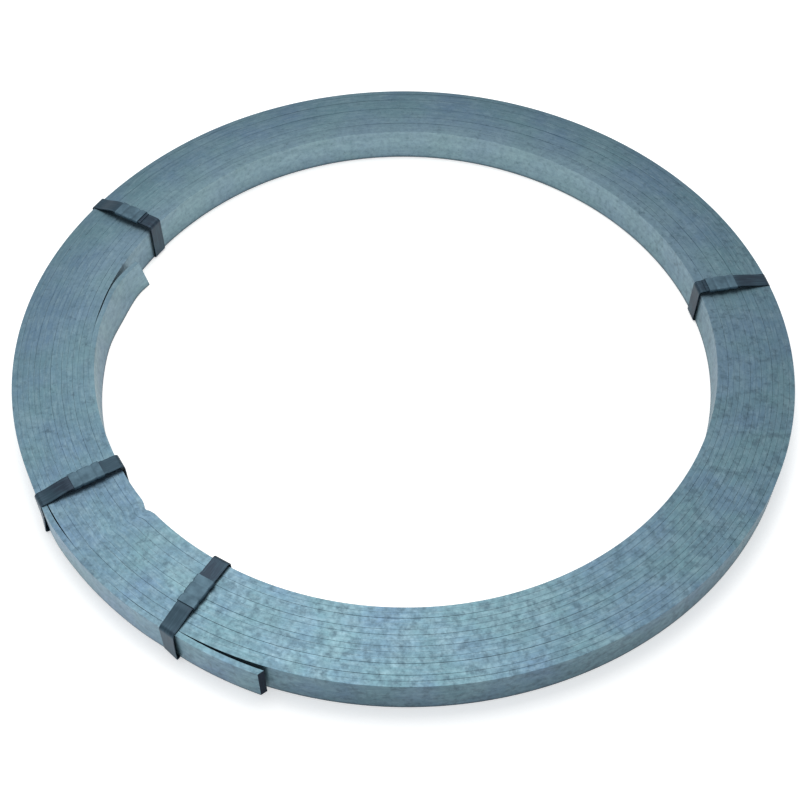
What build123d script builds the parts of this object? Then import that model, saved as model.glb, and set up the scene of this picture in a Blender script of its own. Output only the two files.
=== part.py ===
from build123d import *
import os
from math import atan2, cos, degrees, radians, sin, sqrt

# A flat coil of hot-dip galvanized steel strip, lying on one end and tied by four steel straps.
# Millimetres, +Z up. The origin is on the coil's axis, on the floor that the straps rest on.

# The strip and its winding
STRIP_WIDTH = 30.0
STRIP_THICKNESS = 4.0
WINDING_SLACK = 0.3  # air between one turn and the next
TURNS = 14
BORE_RADIUS = 250.0
EDGE_CROWN = 0.6  # fall of each turn's rounded edge from its middle to its corners

# The outer end of the strip, which springs away from the winding
TAIL_LEAVE_ANGLE = 193.0  # degrees, anticlockwise from +X
TAIL_END_ANGLE = 253.0
TAIL_GAP = 2.5  # between the cut end and the winding
TAIL_ROOT = 0.5  # depth in the winding at which the tail starts to open

# The inner end of the strip, where the first turn starts and the bore steps out by one wrap
INNER_END_ANGLE = 161.0
STEP_FADE_ANGLE = 72.0  # degrees over which that step runs out before the end
INNER_END_GAP = 2.0  # between the end's back and the next wrap

# The straps
STRAP_WIDTH = 13.0
STRAP_THICKNESS = 0.5
STRAP_WALL_CLEARANCE = 0.2  # between a strap and the winding's two walls
STRAP_LAP = 32.0  # length over which a strap's two ends overlap
STRAP_BEND = 0.3  # cut across the outer corners, where a strap is bent
STRAP_ANGLES = {"right": 11.8, "back_left": 150.5, "left": 211.8, "front_left": 239.5}

# The crimp seals
SEAL_LENGTH = 24.0
SEAL_THICKNESS = 0.8
SEAL_CLEARANCE = 0.1  # between a seal and the strap in it
# From a strap's inner bend to the middle of its seal
SEAL_INSETS = {"right": 20.0, "back_left": 18.0, "left": 25.0, "front_left": 31.0}
SEAL_BEND = 0.5  # cut across the folded edges
CRIMP_SPACING = 11.0
CRIMP_DEPTH = 1.2

# Sizes that follow from those above
TURN_PITCH = STRIP_THICKNESS + WINDING_SLACK
OUTER_RADIUS = BORE_RADIUS + TURNS * TURN_PITCH
WINDING_BASE = STRAP_THICKNESS
WINDING_TOP = WINDING_BASE + STRIP_WIDTH
TAIL_EDGE_DROP = EDGE_CROWN / 2
TAIL_BITE = 1.6 * TAIL_ROOT
TAIL_END_RADIUS = OUTER_RADIUS + STRIP_THICKNESS + TAIL_GAP
LAP_TOP = WINDING_TOP + 2 * STRAP_THICKNESS

os.makedirs("parts", exist_ok=True)


def polar(radius, angle):
    """The point at a radius and an angle in degrees, on the floor."""
    return (radius * cos(radians(angle)), radius * sin(radians(angle)))


def centre_shift(touch_radius, reach_radius, turn):
    """How far the centre of an arc lies behind the axis, seen from the point where it touches a
    circle of touch_radius about the axis, so that it reaches reach_radius after that turn."""
    drop = touch_radius - reach_radius * cos(radians(turn))
    return (reach_radius**2 - touch_radius**2) / (2 * drop)


def reach(touch_radius, shift, turn):
    """Distance from the axis to such an arc, a turn in degrees away from where it touches."""
    across = shift * sin(radians(turn))
    return sqrt((touch_radius + shift) ** 2 - across**2) - shift * cos(radians(turn))


# The tail's outer face is an arc that opens out of the last turn
TAIL_TURN = TAIL_END_ANGLE - TAIL_LEAVE_ANGLE
TAIL_TOUCH = OUTER_RADIUS - TAIL_ROOT
TAIL_SHIFT = centre_shift(TAIL_TOUCH, TAIL_END_RADIUS, TAIL_TURN)

# The stepped wall before the inner end, and behind it, is an arc that closes in on the bore
STEP_TOUCH = BORE_RADIUS + STRIP_THICKNESS + INNER_END_GAP
STEP_SHIFT = centre_shift(STEP_TOUCH, BORE_RADIUS, STEP_FADE_ANGLE)


def strap_edges(angle, radius):
    """The angles at which the two edges of a strap at an angle cross a wall of that radius."""
    side = degrees(atan2(STRAP_WIDTH / 2, radius))
    return (angle - side, angle + side)


def outer_wall_radius(angle):
    """Distance from the axis to the outermost surface of the winding under a strap at an angle."""
    reached = [OUTER_RADIUS]
    for edge_angle in strap_edges(angle, OUTER_RADIUS):
        if TAIL_LEAVE_ANGLE < edge_angle < TAIL_END_ANGLE:
            reached.append(reach(TAIL_TOUCH, TAIL_SHIFT, edge_angle - TAIL_LEAVE_ANGLE))
    return max(reached)


def bore_wall_radius(angle):
    """Distance from the axis to the innermost surface of the winding under a strap at an angle."""
    reached = []
    for edge_angle in strap_edges(angle, BORE_RADIUS):
        stepped = INNER_END_ANGLE - STEP_FADE_ANGLE < edge_angle < INNER_END_ANGLE
        wall = reach(STEP_TOUCH, STEP_SHIFT, edge_angle - INNER_END_ANGLE)
        reached.append(wall if stepped else BORE_RADIUS)
    return min(reached)


def turn_edges(level, crown):
    """The edges of all turns in section, from the bore outwards: a valley, then crown and valley."""
    points = [(BORE_RADIUS, level - crown)]
    for turn in range(TURNS):
        start = BORE_RADIUS + turn * TURN_PITCH
        points.append((start + TURN_PITCH / 2, level))
        points.append((start + TURN_PITCH, level - crown))
    return points


# The wound strip: a turned ring whose turns show on both ends, with the strip's two ends on it
with BuildPart() as strip_coil:
    with BuildSketch(Plane.XZ) as winding_section:
        with BuildLine():
            upper_edges = turn_edges(WINDING_TOP, EDGE_CROWN)
            lower_edges = turn_edges(WINDING_BASE, -EDGE_CROWN)
            Polyline(*upper_edges, *reversed(lower_edges), close=True)
        make_face()
    revolve(axis=Axis.Z)

    # Outer end: an arc of strip that opens out of the last turn and stops at a square cut
    tail_centre = polar(-TAIL_SHIFT, TAIL_LEAVE_ANGLE)
    end_turn = radians(TAIL_TURN)
    end_across = TAIL_END_RADIUS * sin(end_turn)
    end_along = TAIL_END_RADIUS * cos(end_turn) + TAIL_SHIFT
    tail_sweep = degrees(atan2(end_across, end_along))
    with BuildSketch(Plane.XY.offset(WINDING_BASE + TAIL_EDGE_DROP)) as tail_plan:
        with BuildLine():
            tail_radius = TAIL_TOUCH + TAIL_SHIFT
            back_radius = tail_radius - STRIP_THICKNESS
            outer_face = CenterArc(tail_centre, tail_radius, TAIL_LEAVE_ANGLE, tail_sweep)
            inner_face = CenterArc(tail_centre, back_radius, TAIL_LEAVE_ANGLE, tail_sweep)
            Line(outer_face @ 0, inner_face @ 0)
            Line(outer_face @ 1, inner_face @ 1)
        make_face()
        Circle(OUTER_RADIUS - TAIL_BITE, mode=Mode.SUBTRACT)
    extrude(amount=STRIP_WIDTH - 2 * TAIL_EDGE_DROP)

    # Inner end: the first turn starts at a square cut, with a gap behind it and no wrap before it
    step_centre = polar(-STEP_SHIFT, INNER_END_ANGLE)
    step_radius = STEP_TOUCH + STEP_SHIFT
    end_cut = Plane(origin=(0, 0, 0), z_dir=(*polar(1, INNER_END_ANGLE + 90), 0))
    with BuildSketch() as gap_behind:
        with Locations(step_centre):
            Circle(step_radius)
        Circle(BORE_RADIUS + STRIP_THICKNESS, mode=Mode.SUBTRACT)
    extrude(amount=WINDING_TOP, mode=Mode.SUBTRACT)
    with BuildSketch() as missing_wrap:
        with Locations(step_centre):
            Circle(step_radius)
        split(bisect_by=end_cut, keep=Keep.BOTTOM)
    extrude(amount=WINDING_TOP, mode=Mode.SUBTRACT)

strip_coil.part.label = "strip_coil"
export_step(strip_coil.part, "parts/strip_coil.step")


# Each strap is a band bent round the winding's section, with its two ends lapped under a seal
for place, angle in STRAP_ANGLES.items():
    outward = (*polar(1, angle), 0)
    sideways = (*polar(1, angle + 90), 0)
    half_width = STRAP_WIDTH / 2
    inner_wall = sqrt(bore_wall_radius(angle) ** 2 - half_width**2) - STRAP_WALL_CLEARANCE
    outer_wall = outer_wall_radius(angle) + STRAP_WALL_CLEARANCE
    run = outer_wall - inner_wall
    middle = (inner_wall + outer_wall) / 2
    seal_radius = inner_wall + SEAL_INSETS[place]

    with BuildPart() as strap:
        across = Plane(origin=(0, 0, 0), x_dir=outward, z_dir=tuple(-step for step in sideways))
        with BuildSketch(across) as band:
            with Locations((middle, WINDING_BASE + STRIP_WIDTH / 2)):
                Rectangle(run + 2 * STRAP_THICKNESS, STRIP_WIDTH + 2 * STRAP_THICKNESS)
                chamfer(band.vertices(), STRAP_BEND)
                Rectangle(run, STRIP_WIDTH, mode=Mode.SUBTRACT)
            with Locations((seal_radius, LAP_TOP - STRAP_THICKNESS)):
                Rectangle(STRAP_LAP, STRAP_THICKNESS, align=(Align.CENTER, Align.MIN))
        extrude(amount=half_width, both=True)
    strap.part.label = f"strap_{place}"
    export_step(strap.part, f"parts/strap_{place}.step")

    # The seal is a channel of folded sheet over the lap, nicked twice on each edge by the crimper
    with BuildPart() as seal:
        channel_width = STRAP_WIDTH + 2 * SEAL_CLEARANCE
        seal_width = channel_width + 2 * SEAL_THICKNESS
        channel_height = LAP_TOP + SEAL_CLEARANCE - WINDING_TOP
        seal_height = channel_height + SEAL_THICKNESS
        seat = (*polar(seal_radius, angle), WINDING_TOP)
        with BuildSketch(Plane(origin=seat, x_dir=sideways, z_dir=outward)) as channel:
            Rectangle(seal_width, seal_height, align=(Align.CENTER, Align.MIN))
            chamfer(channel.vertices().group_by(Axis.Z)[-1], SEAL_BEND)
            Rectangle(
                channel_width,
                channel_height,
                align=(Align.CENTER, Align.MIN),
                mode=Mode.SUBTRACT,
            )
        extrude(amount=SEAL_LENGTH / 2, both=True)
        with BuildSketch(Plane(origin=seat, x_dir=outward, z_dir=(0, 0, 1))) as crimps:
            with GridLocations(CRIMP_SPACING, seal_width, 2, 2):
                RegularPolygon(CRIMP_DEPTH, 4)
        extrude(amount=seal_height, mode=Mode.SUBTRACT)
    seal.part.label = f"seal_{place}"
    export_step(seal.part, f"parts/seal_{place}.step")
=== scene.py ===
"""Looks of a flat coil of hot-dip galvanized steel strip, tied by four steel straps.

The strip is one band wound on edge as a spiral, with one end sprung into the bore and the other
sprung off the outside. Each strap is a band bent round the winding and closed by a crimped seal.
Everything is in metres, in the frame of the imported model: +Z up, the floor at zero.
"""
import logging
import math
from dataclasses import dataclass, field
from enum import Enum

import bpy
import numpy as np
from mathutils import Matrix, Vector


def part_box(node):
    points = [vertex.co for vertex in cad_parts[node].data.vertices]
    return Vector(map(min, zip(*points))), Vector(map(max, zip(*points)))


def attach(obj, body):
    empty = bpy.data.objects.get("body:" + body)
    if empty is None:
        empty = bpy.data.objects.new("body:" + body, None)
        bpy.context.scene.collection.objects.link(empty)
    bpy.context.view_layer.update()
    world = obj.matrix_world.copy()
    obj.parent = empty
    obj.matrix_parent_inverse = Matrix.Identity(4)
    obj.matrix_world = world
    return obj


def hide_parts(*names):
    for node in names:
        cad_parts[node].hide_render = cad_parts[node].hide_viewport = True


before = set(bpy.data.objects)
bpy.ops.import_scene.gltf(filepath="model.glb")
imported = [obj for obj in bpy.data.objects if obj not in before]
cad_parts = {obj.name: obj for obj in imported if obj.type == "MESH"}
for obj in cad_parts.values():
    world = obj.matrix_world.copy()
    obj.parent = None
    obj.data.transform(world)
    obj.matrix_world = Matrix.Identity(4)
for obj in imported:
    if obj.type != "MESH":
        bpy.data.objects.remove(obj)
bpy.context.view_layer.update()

LOG = logging.getLogger("strip_coil_looks")

MM = 0.001
UP = np.array([0.0, 0.0, 1.0])
BODY = "root"
RUN_MAP = "run_map"  # UV map in metres: along a band, and round its section

# Sockets of the colour Mix node, which share their names with its other kinds
MIX_A, MIX_B, MIX_RESULT = 6, 7, 2


class Slot(Enum):
    """Material slots of the record."""

    STRIP = "galvanized_strip"
    STRAP = "strap"
    SEAL = "seal"


class Place(Enum):
    """Where a tie is on the coil, as in the names of its nodes."""

    RIGHT = "right"
    BACK_LEFT = "back_left"
    LEFT = "left"
    FRONT_LEFT = "front_left"


def linear(colour: str) -> tuple[float, float, float, float]:
    """Turn an sRGB colour into the linear one that the shaders take.

    Args:
        colour: The colour as a hex string such as "#808080".

    Returns:
        Linear red, green and blue, and an alpha of 1.
    """
    channels = np.array([int(colour[i:i + 2], 16) for i in (1, 3, 5)]) / 255
    curve = np.where(channels <= 0.04045, channels / 12.92, ((channels + 0.055) / 1.055) ** 2.4)
    return (*curve.tolist(), 1.0)


def per(size_mm: float) -> float:
    """Pattern scale, per metre, at which one cell of the pattern is size_mm wide."""
    return 1.0 / (size_mm * MM)


def add_node(
    tree: bpy.types.NodeTree,
    kind: str,
    settings: dict[str | int, object] | None = None,
    links: dict[str | int, bpy.types.NodeSocket] | None = None,
) -> bpy.types.Node:
    """Add a node to a tree with its settings and its incoming links.

    Args:
        tree: The node tree.
        kind: The node's type name.
        settings: Values by property name, or by input socket name or number.
        links: Output sockets by the input socket that each feeds.

    Returns:
        The new node.
    """
    node = tree.nodes.new(kind)
    for key, value in (settings or {}).items():
        if isinstance(key, str) and hasattr(node, key):
            setattr(node, key, value)
        else:
            node.inputs[key].default_value = value
    for key, source in (links or {}).items():
        tree.links.new(source, node.inputs[key])
    return node


def new_material(name: str) -> tuple[bpy.types.Material, bpy.types.NodeTree, bpy.types.Node]:
    """Start a material.

    Args:
        name: The material's name.

    Returns:
        The material, its node tree, and its Principled shader, linked to the output.
    """
    material = bpy.data.materials.new(name)
    material.use_nodes = True
    tree = material.node_tree
    tree.nodes.clear()
    shader = add_node(tree, "ShaderNodeBsdfPrincipled")
    add_node(tree, "ShaderNodeOutputMaterial", links={"Surface": shader.outputs["BSDF"]})
    return material, tree, shader


def smooth_step(value: np.ndarray) -> np.ndarray:
    """Rise smoothly from 0 to 1: 3t^2 - 2t^3 with t the value held between 0 and 1."""
    held = np.clip(value, 0.0, 1.0)
    return held * held * (3.0 - 2.0 * held)


def bell(value: np.ndarray, centre: float, width: float) -> np.ndarray:
    """A bell curve of height 1: exp(-((value - centre) / width)^2)."""
    return np.exp(-(((value - centre) / width) ** 2))


def unit(vectors: np.ndarray) -> np.ndarray:
    """Scale vectors, along the last axis, to length 1."""
    return vectors / np.linalg.norm(vectors, axis=-1, keepdims=True)


@dataclass
class Sweep:
    """A closed profile carried along an open path and capped at both ends.

    points has a row for each step of the path and a column for each point of the profile; column j
    and the last column less j lie across from each other, so the caps are strips of quads between
    them. normals are worked out with the points, so that the surface shades smoothly. along and around
    are the distances to each step and to each point of the profile.
    """

    points: np.ndarray
    normals: np.ndarray
    along: np.ndarray
    around: np.ndarray

    def faces(self) -> np.ndarray:
        """Number the quads between neighbouring steps, then those across the two caps.

        Returns:
            The four corners of each quad, as numbers of points.
        """
        rows, columns = self.points.shape[:2]
        number = np.arange(rows * columns).reshape(rows, columns)
        after = np.roll(number, -1, axis=1)
        sides = np.stack([number[:-1], after[:-1], after[1:], number[1:]], axis=-1).reshape(-1, 4)
        half = np.arange(columns // 2 - 1)
        pair = np.stack([half, columns - 1 - half, columns - 2 - half, half + 1], axis=-1)
        return np.concatenate([sides, number[0][pair], number[-1][pair[:, ::-1]]])

    def map_corners(self) -> np.ndarray:
        """Map the side quads along the path and round the profile, and the caps to one point.

        Returns:
            The UV of each face corner, in metres.
        """
        rows, columns = self.points.shape[:2]
        row, column = np.meshgrid(np.arange(rows - 1), np.arange(columns), indexing="ij")
        u = np.stack([self.along[row], self.along[row], self.along[row + 1], self.along[row + 1]], -1)
        v = np.stack([self.around[column], self.around[column + 1]] * 2, -1)
        v[..., 2:] = v[..., 2:][..., ::-1]
        sides = np.stack([u, v], -1).reshape(-1, 2)
        cap_corners = 2 * 4 * (columns // 2 - 1)  # of two caps, with four to a quad
        return np.concatenate([sides, np.tile([self.along[0], 0.0], (cap_corners, 1))])

    def build(self, name: str) -> bpy.types.Object:
        """Put the surface into a mesh object at the origin, with its UV map and normals.

        Args:
            name: The piece's name.

        Returns:
            The object; its caps use the second material slot.
        """
        rows, columns = self.points.shape[:2]
        corners = self.faces()
        vertices = self.points.reshape(-1, 3)
        a, b, c, d = (vertices[corners[:, i]] for i in range(4))
        face_normals = np.cross(c - a, d - b)
        outwards = np.einsum("ij,ij->i", (a + b + c + d) / 4, face_normals).sum() > 0
        order = [0, 1, 2, 3] if outwards else [3, 2, 1, 0]
        corners = corners[:, order]
        uv = self.map_corners().reshape(-1, 4, 2)[:, order].reshape(-1, 2)
        face_normals = unit(face_normals if outwards else -face_normals)

        mesh = bpy.data.meshes.new(name)
        mesh.vertices.add(len(vertices))
        mesh.vertices.foreach_set("co", vertices.ravel())
        mesh.loops.add(corners.size)
        mesh.loops.foreach_set("vertex_index", corners.ravel().astype(np.int32))
        mesh.polygons.add(len(corners))
        mesh.polygons.foreach_set("loop_start", np.arange(0, corners.size, 4, dtype=np.int32))
        mesh.polygons.foreach_set("use_smooth", np.ones(len(corners), dtype=bool))
        sides = (rows - 1) * columns
        slots = np.zeros(len(corners), dtype=np.int32)
        slots[sides:] = 1
        mesh.polygons.foreach_set("material_index", slots)
        layer = mesh.uv_layers.new(name=RUN_MAP)
        layer.data.foreach_set("uv", uv.astype(np.float32).ravel())
        mesh.update(calc_edges=True)
        mesh.validate()
        corner_normals = self.normals.reshape(-1, 3)[corners]
        corner_normals[sides:] = face_normals[sides:, None, :]
        mesh.normals_split_custom_set(corner_normals.reshape(-1, 3).tolist())

        piece = bpy.data.objects.new(name, mesh)
        bpy.context.scene.collection.objects.link(piece)
        return piece


def round_bar(width: float, height: float, corner: float) -> tuple[np.ndarray, np.ndarray]:
    """Profile of a rounded rectangle: straight sides joined by quarter circles of radius corner.

    Args:
        width: Size across, the first coordinate.
        height: Size upwards, the second coordinate.
        corner: Radius of the corners.

    Returns:
        Twelve points from the bottom, anticlockwise, and the outward normal at each.
    """
    turn = np.radians([-90, -45, 0, 0, 45, 90, 90, 135, 180, 180, 225, 270])
    normals = np.stack([np.cos(turn), np.sin(turn)], axis=-1)
    signs = np.repeat([[1, -1], [1, 1], [-1, 1], [-1, -1]], 3, axis=0)
    middles = signs * np.array([width / 2 - corner, height / 2 - corner])
    return middles + corner * normals, normals


def profile_length(profile: np.ndarray) -> np.ndarray:
    """Distance round a closed profile to each point, and at the end all the way round."""
    steps = np.linalg.norm(np.roll(profile, -1, axis=0) - profile, axis=1)
    return np.concatenate([[0.0], np.cumsum(steps)])


def path_length(path: np.ndarray) -> np.ndarray:
    """Distance along a path to each of its points."""
    steps = np.linalg.norm(np.diff(path, axis=0), axis=1)
    return np.concatenate([[0.0], np.cumsum(steps)])


@dataclass(frozen=True)
class GalvanizedZinc:
    """Hot-dip zinc on rolled strip: a matt, bluish grey skin, streaked along the strip by the wiping
    of the bath, mottled where it dulled in store, with small dark flecks of bare dross."""

    name: str = "hot_dip_galvanized_zinc"
    cool: str = "#68859C"
    green: str = "#6B8D98"
    bright: str = "#8EA8B2"
    dull: str = "#58727F"
    fleck: str = "#465C69"
    # painted contact shade at the foot of the walls, with some floor grime
    foot_grime_and_shade: str = "#2E3B42"
    metallic: float = 0.85
    damp_side: tuple[float, float, float] = (0.14, -0.2, 0.0)  # flecks thicken this way, per metre
    back_fade: tuple[float, float] = (-0.1, 0.15)  # towards +Y the back of the coil is duller outside and lighter inside
    outer_fade: tuple[float, float] = (0.282, 0.31)  # distance at which it is duller there
    inner_fade: tuple[float, float] = (0.29, 0.252)  # and at which it is brighter
    foot_shade_fade: tuple[float, float] = (3.0 * MM, 0.5 * MM)  # height over which painted contact shade, with some floor grime, darkens the foot of the walls

    def material(self) -> bpy.types.Material:
        """Make the material: patches, wiped streaks, mottle and flecks change its colour.

        Returns:
            The material, for a piece with a run map.
        """
        material, tree, shader = new_material(self.name)
        run = add_node(tree, "ShaderNodeUVMap", {"uv_map": RUN_MAP}).outputs["UV"]
        place = add_node(tree, "ShaderNodeTexCoord").outputs["Object"]
        patches, clouds, mottle, flecks, grain = (
            add_node(
                tree, "ShaderNodeTexNoise",
                {"Scale": per(size), "Detail": detail, "Roughness": roughness},
                {"Vector": place}).outputs["Fac"]
            for size, detail, roughness in (
                (45, 3.0, 0.5), (20, 3.0, 0.55), (4, 5.0, 0.68), (5.5, 4.0, 0.62), (1.6, 3.0, 0.5)))
        wipe_run, streak_run = (
            add_node(
                tree, "ShaderNodeMapping", {"Scale": (per(length), per(width), 1.0)},
                {"Vector": run}).outputs["Vector"]
            for length, width in ((13, 2.2), (300, 7)))
        wipes, streaks = (
            add_node(
                tree, "ShaderNodeTexNoise", {"Scale": 1.0, "Detail": 3.0, "Roughness": roughness},
                {"Vector": vector}).outputs["Fac"]
            for vector, roughness in ((wipe_run, 0.6), (streak_run, 0.5)))
        towards_damp = add_node(
            tree, "ShaderNodeVectorMath", {"operation": "DOT_PRODUCT", 1: self.damp_side}, {0: place})
        fleck_height = add_node(
            tree, "ShaderNodeMath", {"operation": "ADD"}, {0: flecks, 1: towards_damp.outputs["Value"]})
        spot = add_node(tree, "ShaderNodeSeparateXYZ", links={"Vector": place})
        reach = add_node(tree, "ShaderNodeVectorMath", {"operation": "LENGTH"}, {0: place})

        # Each share rises from 0 to its most as the value goes from the first limit to the second
        (patch_share, light_cloud, dull_cloud, wiped, streaked, mottled, flecked,
         behind, outer_share, inner_share, foot_shade_share) = (
            add_node(
                tree, "ShaderNodeMapRange", {"From Min": first, "From Max": second, "To Max": most},
                {"Value": value}).outputs["Result"]
            for value, (first, second), most in (
                (patches, (0.38, 0.62), 1.0), (clouds, (0.5, 0.7), 0.28), (clouds, (0.48, 0.28), 0.3),
                (wipes, (0.46, 0.68), 0.42), (streaks, (0.35, 0.7), 0.25), (mottle, (0.44, 0.7), 0.48),
                (fleck_height.outputs["Value"], (0.54, 0.72), 0.55),
                (spot.outputs["Y"], self.back_fade, 0.5),
                (reach.outputs["Value"], self.outer_fade, 0.55),
                (reach.outputs["Value"], self.inner_fade, 1.0),
                # painted contact shade at the foot of the walls, with some floor grime
                (spot.outputs["Z"], self.foot_shade_fade, 0.7)))
        # at the back the outer turns are made duller and the inner turns lighter
        back_outer_darker, back_inner_lighter = (
            add_node(
                tree, "ShaderNodeMath", {"operation": "MULTIPLY"}, {0: behind, 1: share}).outputs["Value"]
            for share in (outer_share, inner_share))
        colour = add_node(
            tree, "ShaderNodeMix",
            {"data_type": "RGBA", MIX_A: linear(self.cool), MIX_B: linear(self.green)},
            {"Factor": patch_share})
        for tone, share in (
            (self.bright, light_cloud), (self.dull, dull_cloud), (self.bright, back_inner_lighter),
            (self.dull, back_outer_darker), (self.bright, wiped), (self.dull, streaked),
            # the last pair here is painted contact shade at the foot, with some floor grime
            (self.dull, mottled), (self.fleck, flecked), (self.foot_grime_and_shade, foot_shade_share),
        ):
            colour = add_node(
                tree, "ShaderNodeMix", {"data_type": "RGBA", MIX_B: linear(tone)},
                {"Factor": share, MIX_A: colour.outputs[MIX_RESULT]})
        tree.links.new(colour.outputs[MIX_RESULT], shader.inputs["Base Color"])

        rough = add_node(
            tree, "ShaderNodeMapRange",
            {"From Min": 0.3, "From Max": 0.7, "To Min": 0.43, "To Max": 0.54}, {"Value": mottle})
        tree.links.new(rough.outputs["Result"], shader.inputs["Roughness"])
        shader.inputs["Metallic"].default_value = self.metallic
        relief = add_node(
            tree, "ShaderNodeBump", {"Strength": 0.5, "Distance": 0.12 * MM}, {"Height": grain})
        tree.links.new(relief.outputs["Normal"], shader.inputs["Normal"])
        return material


@dataclass(frozen=True)
class ShearedEnd:
    """The sheared end of a strip or band: bare steel, dark and dull where it has oxidised, and darkened
    further by painted shade.
    """

    name: str = "sheared_bare_steel_and_shade"
    # these near-black tones are partly oxide and partly painted shade
    dark: str = "#161F2B"
    worn: str = "#2A3644"
    roughness: float = 0.8
    specular: float = 0.15

    def material(self) -> bpy.types.Material:
        """Make the material: fine vertical drag lines of the shear in two dark tones.

        Returns:
            The material.
        """
        material, tree, shader = new_material(self.name)
        place = add_node(tree, "ShaderNodeTexCoord").outputs["Object"]
        drag = add_node(
            tree, "ShaderNodeMapping", {"Scale": (per(0.8), per(0.8), per(12))}, {"Vector": place})
        lines = add_node(
            tree, "ShaderNodeTexNoise", {"Scale": 1.0, "Detail": 3.0},
            {"Vector": drag.outputs["Vector"]})
        tone = add_node(
            tree, "ShaderNodeMix",
            {"data_type": "RGBA", MIX_A: linear(self.dark), MIX_B: linear(self.worn)},
            {"Factor": lines.outputs["Fac"]})
        tree.links.new(tone.outputs[MIX_RESULT], shader.inputs["Base Color"])
        shader.inputs["Roughness"].default_value = self.roughness
        shader.inputs["Specular IOR Level"].default_value = self.specular
        return material


@dataclass(frozen=True)
class BluedStrapSteel:
    """Blued and waxed steel strapping: dark slate with a purple cast, dulled along the band by
    handling and rubbed lighter in thin lines."""

    name: str = "blued_waxed_strap_steel"
    slate: str = "#304755"
    purple: str = "#293847"
    rubbed: str = "#425C6B"
    metallic: float = 0.6

    def material(self) -> bpy.types.Material:
        """Make the material: slow change of slate to purple, and rubbed lines along the band.

        Returns:
            The material, for a piece with a run map.
        """
        material, tree, shader = new_material(self.name)
        run = add_node(tree, "ShaderNodeUVMap", {"uv_map": RUN_MAP}).outputs["UV"]
        place = add_node(tree, "ShaderNodeTexCoord").outputs["Object"]
        tint = add_node(
            tree, "ShaderNodeTexNoise", {"Scale": per(28), "Detail": 2.0}, {"Vector": place})
        rub_run = add_node(
            tree, "ShaderNodeMapping", {"Scale": (per(18), per(1.4), 1.0)}, {"Vector": run})
        rubs = add_node(
            tree, "ShaderNodeTexNoise", {"Scale": 1.0, "Detail": 4.0},
            {"Vector": rub_run.outputs["Vector"]})
        tint_share = add_node(
            tree, "ShaderNodeMapRange", {"From Min": 0.42, "From Max": 0.62},
            {"Value": tint.outputs["Fac"]})
        rub_share = add_node(
            tree, "ShaderNodeMapRange", {"From Min": 0.5, "From Max": 0.72, "To Max": 0.8},
            {"Value": rubs.outputs["Fac"]})
        tinted = add_node(
            tree, "ShaderNodeMix",
            {"data_type": "RGBA", MIX_A: linear(self.slate), MIX_B: linear(self.purple)},
            {"Factor": tint_share.outputs["Result"]})
        rubbed = add_node(
            tree, "ShaderNodeMix", {"data_type": "RGBA", MIX_B: linear(self.rubbed)},
            {"Factor": rub_share.outputs["Result"], MIX_A: tinted.outputs[MIX_RESULT]})
        tree.links.new(rubbed.outputs[MIX_RESULT], shader.inputs["Base Color"])
        rough = add_node(
            tree, "ShaderNodeMapRange", {"To Min": 0.4, "To Max": 0.6},
            {"Value": rubs.outputs["Fac"]})
        tree.links.new(rough.outputs["Result"], shader.inputs["Roughness"])
        shader.inputs["Metallic"].default_value = self.metallic
        return material


@dataclass(frozen=True)
class ZincPlatedSheet:
    """Plain zinc-plated sheet of the crimp seals: lighter than the straps, blue-grey in soft patches."""

    name: str = "zinc_plated_seal_sheet"
    body: str = "#5C7786"
    dull: str = "#4A6270"
    metallic: float = 0.8

    def material(self) -> bpy.types.Material:
        """Make the material: soft dull patches, which are rougher too.

        Returns:
            The material.
        """
        material, tree, shader = new_material(self.name)
        place = add_node(tree, "ShaderNodeTexCoord").outputs["Object"]
        patches = add_node(
            tree, "ShaderNodeTexNoise", {"Scale": per(9), "Detail": 4.0}, {"Vector": place})
        share = add_node(
            tree, "ShaderNodeMapRange", {"From Min": 0.42, "From Max": 0.68},
            {"Value": patches.outputs["Fac"]})
        tone = add_node(
            tree, "ShaderNodeMix",
            {"data_type": "RGBA", MIX_A: linear(self.body), MIX_B: linear(self.dull)},
            {"Factor": share.outputs["Result"]})
        tree.links.new(tone.outputs[MIX_RESULT], shader.inputs["Base Color"])
        rough = add_node(
            tree, "ShaderNodeMapRange", {"To Min": 0.5, "To Max": 0.66},
            {"Value": patches.outputs["Fac"]})
        tree.links.new(rough.outputs["Result"], shader.inputs["Roughness"])
        shader.inputs["Metallic"].default_value = self.metallic
        return material


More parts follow.
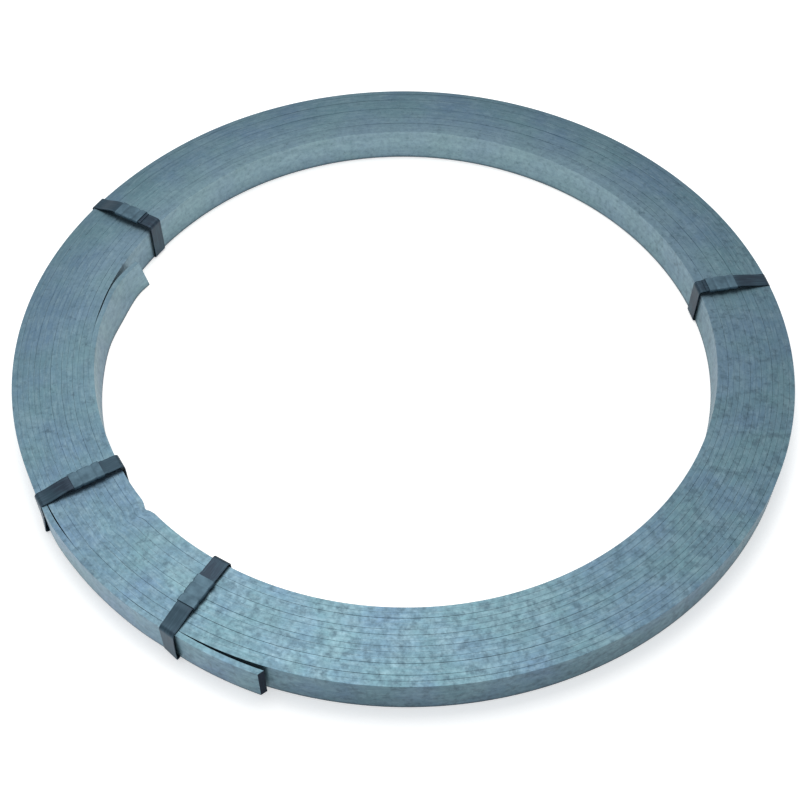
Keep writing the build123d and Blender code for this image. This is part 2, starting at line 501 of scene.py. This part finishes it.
@dataclass(frozen=True)
class PaleFloor:
    """Matt white studio floor, which shows as white and keeps the object's shadow."""

    name: str = "matt_white_studio_floor"
    colour: str = "#F4F6F6"
    roughness: float = 0.9
    specular: float = 0.1
    glow: float = 0.45  # seen straight or through something clear
    mirrored_glow: float = 0.28  # seen in the metal
    left_reflection_glow: float = 0.5  # painted reflection: more glow on the left, seen only in the metal, in place of a white card beside the object
    left_reflection_fade: tuple[float, float] = (-0.04, -0.19)  # along X, from where it starts to where it is full
    coil_reach: tuple[float, float] = (0.3, 0.31)  # distance at which it stops, at the object

    def material(self) -> bpy.types.Material:
        """Make the material: matt white, lifted a little for the camera and for reflections, and lifted
        more in reflections on the left as a painted reflection.

        Returns:
            The material.
        """
        material, tree, shader = new_material(self.name)
        rays = add_node(tree, "ShaderNodeLightPath")
        place = add_node(tree, "ShaderNodeTexCoord").outputs["Object"]
        across = add_node(tree, "ShaderNodeSeparateXYZ", links={"Vector": place}).outputs["X"]
        reach = add_node(tree, "ShaderNodeVectorMath", {"operation": "LENGTH"}, {0: place})
        start, stop = self.left_reflection_fade
        # painted reflection: the floor glows more on the left, in the metal only
        left_reflection = add_node(
            tree, "ShaderNodeMapRange",
            {"From Min": start, "From Max": stop, "To Max": self.left_reflection_glow}, {"Value": across})
        near, far = self.coil_reach
        outside = add_node(
            tree, "ShaderNodeMapRange", {"From Min": near, "From Max": far},
            {"Value": reach.outputs["Value"]})
        mirrored_lift = add_node(
            tree, "ShaderNodeMath", {"operation": "MULTIPLY_ADD", 2: self.mirrored_glow},
            {0: left_reflection.outputs["Result"], 1: outside.outputs["Result"]})
        seen = add_node(
            tree, "ShaderNodeMath", {"operation": "MAXIMUM"},
            {0: rays.outputs["Is Camera Ray"], 1: rays.outputs["Is Transmission Ray"]})
        mirrored = add_node(
            tree, "ShaderNodeMath", {"operation": "MULTIPLY"},
            {0: rays.outputs["Is Glossy Ray"], 1: mirrored_lift.outputs[0]})
        lift = add_node(
            tree, "ShaderNodeMath", {"operation": "MULTIPLY_ADD", 1: self.glow},
            {0: seen.outputs[0], 2: mirrored.outputs[0]})
        shader.inputs["Base Color"].default_value = linear(self.colour)
        shader.inputs["Roughness"].default_value = self.roughness
        shader.inputs["Specular IOR Level"].default_value = self.specular
        shader.inputs["Emission Color"].default_value = linear("#FFFFFF")
        tree.links.new(lift.outputs[0], shader.inputs["Emission Strength"])
        return material


@dataclass
class StripCoil:
    """The wound strip: one band on edge, from its end in the bore to its end outside.

    Angles are in degrees, turned anticlockwise along the strip from its inner end unless a comment says
    otherwise. A bell is given by where it is, its half-width and its size in millimetres.
    """

    node: str = "strip_coil"
    strip_width: float = 30.0 * MM
    strip_thickness: float = 4.25 * MM
    edge_radius: float = 0.11 * MM
    pitch: float = 4.3 * MM
    start_radius: float = 247.2 * MM
    start_angle: float = 160.5  # of the inner end, about the axis from +X
    sweep: float = 14 * 360.0 + 92.5
    steps_per_turn: int = 480
    climb: float = 0.35  # share of a wrap that each turn climbs straight after the inner end
    climb_turn: float = 70.0
    jog: float = 0.5  # share that it climbs further on
    jog_at: float = 44.0
    jog_turn: float = 20.0
    dent: float = 3.0 * MM  # a kink in the first turn, which the next ones follow less and less
    dent_at: float = 61.9
    dent_turn: float = 1.0
    dent_reach: float = 13.0  # turns over which it fades
    tight_angle: float = 225.0  # about the axis, between the two close straps, which press the turns
    tight_turn: float = 35.0
    tight_by: float = 0.09 * MM
    bulges: tuple[tuple[float, float, float], ...] = (  # bells about the axis, the flats below zero
        (145.0, 22.0, -2.0), (88.0, 22.0, 1.0), (35.0, 25.0, -0.6), (305.0, 45.0, 0.7))
    gap_waves: tuple[tuple[float, float, float], ...] = (  # size in mm, waves a turn, start in radians
        (0.012, 0.5, 1.0), (0.015, 2.47, 0.0), (0.01, 6.53, 2.0))
    spring_in: float = 3.0 * MM
    spring_in_turn: float = 16.0
    spring_in_power: float = 1.5
    bow: tuple[float, float, float] = (13.0, 4.0, 0.8)  # a bell inwards behind the inner end
    hook: float = 5.0 * MM
    hook_turn: float = 8.0
    hook_power: float = 1.6
    leans: tuple[tuple[float, float, float], ...] = ((7.5, 5.5, 4.0), (19.0, 13.0, 2.2))  # of the foot
    tip_slant: float = 6.0 * MM  # by which the inner end's foot is longer than its top
    spring_out: float = 3.0 * MM
    spring_out_turn: float = 12.5  # back from the outer end
    spring_out_power: float = 0.85
    loose: tuple[tuple[float, float, float], ...] = ((37.5, 4.0, 0.9), (18.5, 3.5, 0.25))  # back from it
    level_jitter: float = 0.07 * MM
    level_waves: tuple[tuple[float, float, float], ...] = (  # share, waves a turn, start in radians
        (1.0, 0.37, 0.0), (1.0, 1.61, 1.3), (0.8, 7.71, 0.4))
    cut_skew: float = 2.8 * MM  # by which the outer face ends short of the inner one
    steel: ShearedEnd = field(default_factory=ShearedEnd)
    zinc: GalvanizedZinc = field(default_factory=GalvanizedZinc)

    def __post_init__(self) -> None:
        """Work out the winding's turned angle, radius and level at every step."""
        low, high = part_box(self.node)
        self.middle = (low.z + high.z) / 2
        steps = round(self.sweep / 360 * self.steps_per_turn)
        self.turned = np.linspace(0.0, self.sweep, steps + 1)
        self.angle = np.radians(self.start_angle + self.turned)
        self.radius = self.wound_radius() + self.end_springs()
        self.level = self.middle + self.edge_level()

    def past(self, angle: float) -> np.ndarray:
        """Angle of every step past an angle about the axis, between -180 and 180."""
        return (self.start_angle + self.turned - angle + 180) % 360 - 180

    def oval(self) -> np.ndarray:
        """How far the whole winding is out of round: flats and bulges as bells about the axis."""
        return sum(size * MM * bell(self.past(at), 0.0, width) for at, width, size in self.bulges)

    def wound_radius(self) -> np.ndarray:
        """Radius of the strip's middle in the winding.

        Turn k of the spiral lies k pitches outside the first turn. The first turn climbs one pitch,
        most of it soon after the inner end, so every turn climbs there, and has a kink, a bell that
        fades evenly from turn to turn. The pitch is smaller where the straps press, and slow waves that
        don't fit the turn open and close the gaps.

        Returns:
            The radius at every step.
        """
        turns = np.floor(self.turned / 360)
        within = self.turned - 360 * turns
        first = (1 - self.climb - self.jog) * within / 360
        first += self.climb * smooth_step(within / self.climb_turn)
        first += self.jog * smooth_step((within - self.jog_at) / self.jog_turn)
        pitch = self.pitch - self.tight_by * bell(self.past(self.tight_angle), 0.0, self.tight_turn)
        turn = np.radians(self.turned)
        gaps = sum(size * np.sin(rate * turn + start) for size, rate, start in self.gap_waves)
        middle = self.start_radius + self.strip_thickness / 2
        followed = np.clip(1 - turns / self.dent_reach, 0, 1)
        dent = self.dent * followed * bell(within, self.dent_at, self.dent_turn)
        return middle + first * self.pitch + turns * pitch + self.oval() + gaps * MM + dent

    def end_springs(self) -> np.ndarray:
        """How far the two ends, and two loose places near the tail, stand off the winding.

        Each end leaves the spiral as a power of the angle left to it, and the inner one is bowed
        inwards by a bell and hooked inwards at its tip; the loose places are bells.

        Returns:
            The move outwards at every step.
        """
        left = self.sweep - self.turned
        sprung = np.clip(1 - self.turned / self.spring_in_turn, 0, 1) ** self.spring_in_power
        hooked = np.clip(1 - self.turned / self.hook_turn, 0, 1) ** self.hook_power
        at, width, size = self.bow
        inwards = self.spring_in * sprung + self.hook * hooked + size * MM * bell(self.turned, at, width)
        outwards = np.clip(1 - left / self.spring_out_turn, 0, 1) ** self.spring_out_power
        loose = sum(size * MM * bell(left, at, width) for at, width, size in self.loose)
        return self.spring_out * outwards - inwards + loose

    def edge_level(self) -> np.ndarray:
        """Height of each part of the strip over the rest: slow waves that don't fit the turn."""
        turn = np.radians(self.turned)
        return self.level_jitter * sum(n * np.sin(rate * turn + at) for n, rate, at in self.level_waves)

    def walls(self, angle: float, half_width: float) -> tuple[float, float, float]:
        """Find the winding's reach under a strap.

        Args:
            angle: The strap's angle about the axis, in radians.
            half_width: Half the strap's width.

        Returns:
            Radius of the innermost and the outermost face there, and the height of the top.
        """
        across = self.radius * np.sin(self.angle - angle)
        under = (np.abs(across) < half_width) & (np.cos(self.angle - angle) > 0)
        half = self.strip_thickness / 2
        forward = self.radius * np.cos(self.angle - angle)
        top = self.level[under].max() + self.strip_width / 2
        return forward[under].min() - half, forward[under].max() + half, top

    def build(self) -> bpy.types.Object:
        """Carry the strip's rounded section along the spiral.

        A point is the path's point plus the section's width along the path's outward normal and the
        section's height upwards. Near the inner end the section leans, its foot into the bore, by
        bells along the strip, and both ends are cut on a slant. The normals leave the lean out.

        Returns:
            The strip as one piece.
        """
        flat = self.radius[:, None] * np.stack([np.cos(self.angle), np.sin(self.angle)], axis=-1)
        heading = unit(np.gradient(flat, axis=0))
        outward = np.stack([heading[:, 1], -heading[:, 0]], axis=-1)
        profile, facing = round_bar(self.strip_thickness, self.strip_width, self.edge_radius)
        points = np.empty((len(flat), len(profile), 3))
        lean = sum(size * MM * bell(self.turned, at, width) for at, width, size in self.leans)
        low = 0.5 - profile[:, 1] / self.strip_width
        tipped = profile[None, :, 0] - lean[:, None] * low
        points[..., :2] = flat[:, None] + outward[:, None] * tipped[..., None]
        points[..., 2] = self.level[:, None] + profile[None, :, 1]
        points[0, :, :2] -= self.tip_slant * low[:, None] * heading[0]
        share = 0.5 + profile[:, 0] / self.strip_thickness
        points[-1, :, :2] -= self.cut_skew * share[:, None] * heading[-1]
        normals = np.empty_like(points)
        normals[..., :2] = outward[:, None] * facing[None, :, :1]
        normals[..., 2] = facing[None, :, 1]
        piece = Sweep(points, normals, path_length(flat), profile_length(profile)).build("wound_strip")
        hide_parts(self.node)
        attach(piece, BODY)
        return piece

    def dress(self, piece: bpy.types.Object) -> None:
        """Give the strip its zinc, and its two cut ends bare steel darkened by painted shade."""
        piece.data.materials.append(self.zinc.material())
        piece.data.materials.append(self.steel.material())


@dataclass
class Tie:
    """One strap round the winding, and the seal that holds its lapped ends on top."""

    place: Place
    coil: StripCoil
    lift: float  # by which the strap stands over the winding at its seal
    outer_slack: float  # by which it stands off the winding outside
    twist_power: float  # small where the outer leg twists from its top, large where only its foot does
    strap_width: float = 13.0 * MM
    strap_thickness: float = 0.6 * MM
    strap_edge: float = 0.12 * MM  # radius of its edges
    lap: float = 32.0 * MM
    lap_lead: float = 4.0 * MM  # by which the upper end starts to climb before the lap
    lap_climb: float = 6.0 * MM  # run over which it climbs
    lap_gap: float = 0.04 * MM
    outer_lift: float = 0.5 * MM
    inner_slack: float = 1.6 * MM
    outer_twist: float = 2.9 * MM  # by which one side of the outer leg's foot stands off further
    top_bend: float = 3.0 * MM
    floor_bend: float = 2.0 * MM
    seal_length: float = 24.0 * MM
    seal_sheet: float = 0.8 * MM
    seal_play: float = 0.1 * MM
    seal_bend: float = 1.2 * MM
    seal_lip: float = 3.0 * MM
    seal_steps: int = 79
    bend_points: int = 5  # on each rounded edge of the seal
    crimp_spacing: float = 11.0 * MM
    crimp_width: float = 1.2 * MM
    crimp_pinch: float = 0.6 * MM
    crimp_reach: float = 3.5 * MM  # from the seal's edge to where a crimp runs out
    crimp_sink: float = 0.6  # share of the pinch by which the top sinks with it

    def __post_init__(self) -> None:
        """Read where the strap and the seal are from their nodes."""
        low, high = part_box(self.strap_node)
        middle = (low + high) / 2
        self.floor = low.z
        self.angle = math.atan2(middle.y, middle.x)
        low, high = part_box(self.seal_node)
        self.seal_radius = ((low + high) / 2).xy.length
        inner, outer, top = self.coil.walls(self.angle, self.strap_width / 2)
        self.inner = inner - self.inner_slack - self.strap_thickness / 2
        self.outer = outer + self.outer_slack + self.strap_thickness / 2
        self.top = top + self.lift + self.strap_thickness / 2
        self.outwards = np.array([math.cos(self.angle), math.sin(self.angle), 0.0])
        self.sideways = np.array([-math.sin(self.angle), math.cos(self.angle), 0.0])

    @property
    def strap_node(self) -> str:
        """Name of the strap's node."""
        return f"strap_{self.place.value}"

    @property
    def seal_node(self) -> str:
        """Name of the seal's node."""
        return f"seal_{self.place.value}"

    @staticmethod
    def straight(start: tuple[float, float], stop: tuple[float, float], steps: int) -> np.ndarray:
        """Points on a straight run, without its two ends."""
        share = np.linspace(0, 1, steps + 2)[1:-1, None]
        return np.array(start) + share * (np.array(stop) - np.array(start))

    @staticmethod
    def corner(middle: tuple[float, float], radius: float, start: float, steps: int) -> np.ndarray:
        """Points on a quarter circle that begins at an angle in degrees and turns with the band."""
        turn = np.radians(np.linspace(start, start + 90, steps))
        return np.array(middle) + radius * np.stack([np.cos(turn), np.sin(turn)], axis=-1)

    def band_path(self) -> np.ndarray:
        """The strap's middle line in section, as radius and height.

        It starts on top under the lap, runs inwards, down the bore, out along the floor, up the
        outside and inwards again on top of its own start. Its runs are straight and its corners
        quarter circles; the run on top rises smoothly from the outer edge to the seal, where the
        lap rises by one thickness more. The last value of each run or corner is its count of points.

        Returns:
            The points of the path.
        """
        bend, low_bend = self.top_bend, self.floor_bend
        floor = self.floor + self.strap_thickness / 2
        inner, outer, top = self.inner, self.outer, self.top
        lap_start, lap_end = self.seal_radius + self.lap / 2, self.seal_radius - self.lap / 2
        edge = top - self.lift + self.outer_lift
        over = self.straight((outer - bend, edge), (lap_end, edge), 40)
        rise = smooth_step((outer - bend - over[:, 0]) / (outer - bend - lap_start))
        lapped = smooth_step((lap_start + self.lap_lead - over[:, 0]) / self.lap_climb)
        over[:, 1] += rise * (top - edge) + lapped * (self.strap_thickness + self.lap_gap)
        return np.concatenate([
            self.straight((lap_start, top), (inner + bend, top), 30),
            self.corner((inner + bend, top - bend), bend, 90, 9),
            self.straight((inner, top - bend), (inner, floor + low_bend), 16),
            self.corner((inner + low_bend, floor + low_bend), low_bend, 180, 7),
            self.straight((inner + low_bend, floor), (outer - low_bend, floor), 20),
            self.corner((outer - low_bend, floor + low_bend), low_bend, 270, 7),
            self.straight((outer, floor + low_bend), (outer, edge - bend), 24),
            self.corner((outer - bend, edge - bend), bend, 0, 9),
            over,
        ])

    def build_strap(self) -> bpy.types.Object:
        """Carry the band's thin section along its path.

        A point is the path's point plus the section's width sideways and its thickness along the
        path's own normal. The outer leg is twisted: towards its foot one side stands off further,
        as a power of the fall. The normals leave the twist out.

        Returns:
            The strap as one piece.
        """
        path = self.band_path()
        heading = unit(np.gradient(path, axis=0))
        away = np.stack([heading[:, 1], -heading[:, 0]], axis=-1)
        away = away[:, :1] * self.outwards + away[:, 1:] * UP
        line = path[:, :1] * self.outwards + path[:, 1:] * UP
        profile, facing = round_bar(self.strap_width, self.strap_thickness, self.strap_edge)
        points = line[:, None] + profile[None, :, :1] * self.sideways
        points = points + profile[None, :, 1:] * away[:, None]
        normals = facing[None, :, :1] * self.sideways + facing[None, :, 1:] * away[:, None]
        fall = np.clip((self.top - path[:, 1]) / (self.top - self.floor), 0, 1) ** self.twist_power
        outside = smooth_step(2 * (path[:, 0] - self.inner) / (self.outer - self.inner) - 1)
        side = 0.5 + profile[None, :, 0] / self.strap_width
        twist = self.outer_twist * (fall * outside)[:, None] * side
        points += twist[..., None] * self.outwards
        sweep = Sweep(points, normals, path_length(path), profile_length(profile))
        piece = sweep.build(f"tie_band_{self.place.value}")
        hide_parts(self.strap_node)
        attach(piece, BODY)
        return piece

    def seal_section(self) -> tuple[np.ndarray, np.ndarray]:
        """The seal's folded sheet in section: sideways, and up from the lower band's underside.

        An outer and an inner rounded rectangle, one sheet apart and open below between two lips,
        joined into one closed line.

        Returns:
            The points of the section and their normals.
        """
        arcs = [np.linspace(start, start + 90, self.bend_points) for start in (-90, 0, 90, 180)]
        turn = np.radians(np.concatenate(arcs))
        facing = np.stack([np.cos(turn), np.sin(turn)], axis=-1)
        half = self.strap_width / 2 + self.seal_play + self.seal_sheet
        low = -self.seal_play - self.seal_sheet
        high = 2 * self.strap_thickness + 2 * self.seal_play + self.seal_sheet
        signs = np.repeat([[1, 0], [1, 1], [-1, 1], [-1, 0]], self.bend_points, axis=0)
        middles = np.where(signs == 1, [half, high], np.where(signs == 0, [0, low], [-half, 0]))
        middles = middles + self.seal_bend * np.where(signs == 1, -1, 1)
        lips = np.array([[half - self.seal_lip, 0.0], [self.seal_lip - half, 0.0]])
        loops = []
        for depth in (0.0, self.seal_sheet):
            bends = middles + (self.seal_bend - depth) * facing
            ends = lips + [[0, low + depth]] * 2
            loops.append(np.concatenate([ends[:1], bends, ends[1:]]))
        down = np.array([[0.0, -1.0]])
        outer_facing = np.concatenate([down, facing, down])
        section = np.concatenate([loops[0], loops[1][::-1]])
        return section, np.concatenate([outer_facing, -outer_facing[::-1]])

    def build_seal(self) -> bpy.types.Object:
        """Carry the folded sheet along the strap, pinched at the two crimps.

        Bells along the seal, at the crimps, draw the points near the sheet's edges inwards and
        down, more the nearer they are to the edge.

        Returns:
            The seal as one piece.
        """
        section, facing = self.seal_section()
        run = np.linspace(-self.seal_length / 2, self.seal_length / 2, self.seal_steps)
        half = np.abs(section[:, 0]).max()
        crimp = bell(run, self.crimp_spacing / 2, self.crimp_width)
        crimp = (crimp + bell(run, -self.crimp_spacing / 2, self.crimp_width))[:, None]
        near_edge = smooth_step((np.abs(section[:, 0]) - half + self.crimp_reach) / self.crimp_reach)
        pinch = self.crimp_pinch * crimp * near_edge
        side = section[:, 0] - np.sign(section[:, 0]) * pinch
        height = section[:, 1] - self.crimp_sink * pinch * (section[:, 1] > 0)
        start = self.outwards * self.seal_radius + UP * (self.top - self.strap_thickness / 2)
        points = start + run[:, None, None] * self.outwards
        points = points + side[..., None] * self.sideways + height[..., None] * UP
        normals = facing[:, :1] * self.sideways + facing[:, 1:] * UP
        slope = np.gradient(side * np.sign(section[:, 0]), run, axis=0)
        drop = np.gradient(height, run, axis=0)
        lean = slope * np.abs(facing[:, 0]) + drop * facing[:, 1]
        normals = unit(normals[None] - lean[..., None] * self.outwards)
        sweep = Sweep(points, normals, run, profile_length(section))
        piece = sweep.build(f"crimp_seal_{self.place.value}")
        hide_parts(self.seal_node)
        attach(piece, BODY)
        return piece


@dataclass
class TieSet:
    """The four ties, which share their finishes.

    slacks gives each tie's lift, outer slack and power of the twist.
    """

    coil: StripCoil
    slacks: dict[Place, tuple[float, float, float]] = field(default_factory=lambda: {
        Place.RIGHT: (3.6 * MM, 0.3 * MM, 2.5), Place.BACK_LEFT: (5.2 * MM, 2.0 * MM, 2.5),
        Place.LEFT: (3.6 * MM, 0.3 * MM, 2.5), Place.FRONT_LEFT: (2.4 * MM, 0.3 * MM, 0.4)})
    strap_steel: BluedStrapSteel = field(default_factory=BluedStrapSteel)
    seal_sheet: ZincPlatedSheet = field(default_factory=ZincPlatedSheet)

    def build(self) -> list[bpy.types.Object]:
        """Build and dress every strap and seal.

        Returns:
            The pieces, strap and seal by turns.
        """
        strap_finish, seal_finish = self.strap_steel.material(), self.seal_sheet.material()
        pieces = []
        for place in Place:
            tie = Tie(place, self.coil, *self.slacks[place])
            for piece, finish in ((tie.build_strap(), strap_finish), (tie.build_seal(), seal_finish)):
                piece.data.materials.append(finish)  # the sides
                piece.data.materials.append(finish)  # the ends
                pieces.append(piece)
        return pieces


@dataclass
class Studio:
    """The pale floor, the soft light and the camera at the photograph's angle."""

    target: tuple[float, float, float] = (0.0, 0.0, 0.0155)
    camera_distance: float = 1.0699
    camera_elevation: float = 48.81  # degrees
    camera_pan: float = 0.0024  # tangents of the small turns away from the target
    camera_tilt: float = 0.0408
    camera_roll: float = 0.32  # degrees
    sensor: float = 36.0
    lens: float = 58.77
    floor_half: float = 60.0
    world_colour: str = "#F6F8FC"
    world_strength: float = 0.56
    softbox_side: float = 1.0
    key_place: tuple[float, float, float] = (-0.14, 0.45, 1.65)
    key_power: float = 14.2
    key_colour: str = "#FFFCF8"
    fill_place: tuple[float, float, float] = (-1.7, -0.9, 0.55)
    fill_power: float = 1.0
    spot_colour: str = "#FFE6C4"
    spot_power: float = 62.0
    spot_height: float = 2.0
    spot_reach: float = 0.24
    spot_size: float = 0.02
    spot_blend: float = 0.1
    floor: PaleFloor = field(default_factory=PaleFloor)

    def build_floor(self) -> bpy.types.Object:
        """Lay a flat square of floor at height zero, under the object.

        Returns:
            The floor.
        """
        half = self.floor_half
        corners = [(-half, -half, 0), (half, -half, 0), (half, half, 0), (-half, half, 0)]
        mesh = bpy.data.meshes.new("studio_floor")
        mesh.from_pydata(corners, [], [(0, 1, 2, 3)])
        floor = bpy.data.objects.new("studio_floor", mesh)
        bpy.context.scene.collection.objects.link(floor)
        mesh.materials.append(self.floor.material())
        return floor

    def add_softbox(
        self, name: str, place: tuple[float, float, float], power: float, colour: str,
    ) -> None:
        """Hang a square soft light that looks at the object.

        Args:
            name: The lamp's name.
            place: Where it hangs.
            power: Its power in watts.
            colour: Its colour as a hex string.
        """
        lamp = bpy.data.lights.new(name, "AREA")
        lamp.color = linear(colour)[:3]
        lamp.size = self.softbox_side
        lamp.energy = power
        softbox = bpy.data.objects.new(name, lamp)
        softbox.location = place
        aim = Vector(self.target) - Vector(place)
        softbox.rotation_euler = aim.to_track_quat("-Z", "Y").to_euler()
        bpy.context.scene.collection.objects.link(softbox)

    def add_bore_spot(self) -> None:
        """Hang a warm spot over the axis that lights the floor inside the bore, not the coil."""
        lamp = bpy.data.lights.new("bore_spot", "SPOT")
        lamp.color = linear(self.spot_colour)[:3]
        lamp.energy = self.spot_power
        lamp.shadow_soft_size = self.spot_size
        lamp.spot_size = 2 * math.atan2(self.spot_reach, self.spot_height)
        lamp.spot_blend = self.spot_blend
        spot = bpy.data.objects.new("bore_spot", lamp)
        spot.location = (0.0, 0.0, self.spot_height)
        bpy.context.scene.collection.objects.link(spot)

    def light(self) -> None:
        """Light the object by an even pale world, two softboxes and the spot over its bore.

        One softbox hangs over the object's back and a weak one low on its left. The world is white where
        the camera sees it.
        """
        world = bpy.data.worlds.new("soft_studio")
        bpy.context.scene.world = world
        world.use_nodes = True
        background = world.node_tree.nodes["Background"]
        background.inputs["Color"].default_value = linear(self.world_colour)
        rays = add_node(world.node_tree, "ShaderNodeLightPath")
        strength = add_node(
            world.node_tree, "ShaderNodeMapRange", {"To Min": self.world_strength},
            {"Value": rays.outputs["Is Camera Ray"]})
        world.node_tree.links.new(strength.outputs["Result"], background.inputs["Strength"])
        self.add_softbox("key_softbox", self.key_place, self.key_power, self.key_colour)
        self.add_softbox("fill_softbox", self.fill_place, self.fill_power, self.world_colour)
        self.add_bore_spot()

    def add_camera(self) -> None:
        """Set the camera where the photograph was taken from, with its small pan, tilt and roll."""
        rise = math.radians(self.camera_elevation)
        back = Vector((0.0, -math.cos(rise), math.sin(rise)))
        eye = Vector(self.target) + self.camera_distance * back
        right = Vector((1.0, 0.0, 0.0))
        up = back.cross(right)
        back = (back + self.camera_pan * right + self.camera_tilt * up).normalized()
        right = up.cross(back).normalized()
        up = back.cross(right)
        roll = math.radians(self.camera_roll)
        across = math.cos(roll) * right + math.sin(roll) * up
        upward = math.cos(roll) * up - math.sin(roll) * right
        data = bpy.data.cameras.new("photo_camera")
        data.sensor_width = self.sensor
        data.lens = self.lens
        camera = bpy.data.objects.new("photo_camera", data)
        turned = Matrix((across, upward, back)).transposed()
        camera.matrix_world = Matrix.Translation(eye) @ turned.to_4x4()
        bpy.context.scene.collection.objects.link(camera)
        bpy.context.scene.camera = camera

    def build(self) -> None:
        """Build the stage, the light and the camera."""
        self.build_floor()
        self.light()
        self.add_camera()
        bpy.context.scene.view_settings.view_transform = "Standard"


def report(piece: bpy.types.Object) -> None:
    """Log a piece's name and the size of its mesh."""
    LOG.info("%s: %d faces", piece.name, len(piece.data.polygons))


def main() -> None:
    """Build the studio, the wound strip and its ties, and report each piece."""
    logging.basicConfig(level=logging.INFO, format="%(name)s %(message)s")
    Studio().build()
    coil = StripCoil()
    strip = coil.build()
    coil.dress(strip)
    report(strip)
    for piece in TieSet(coil).build():
        report(piece)


if __name__ == "__main__":
    main()
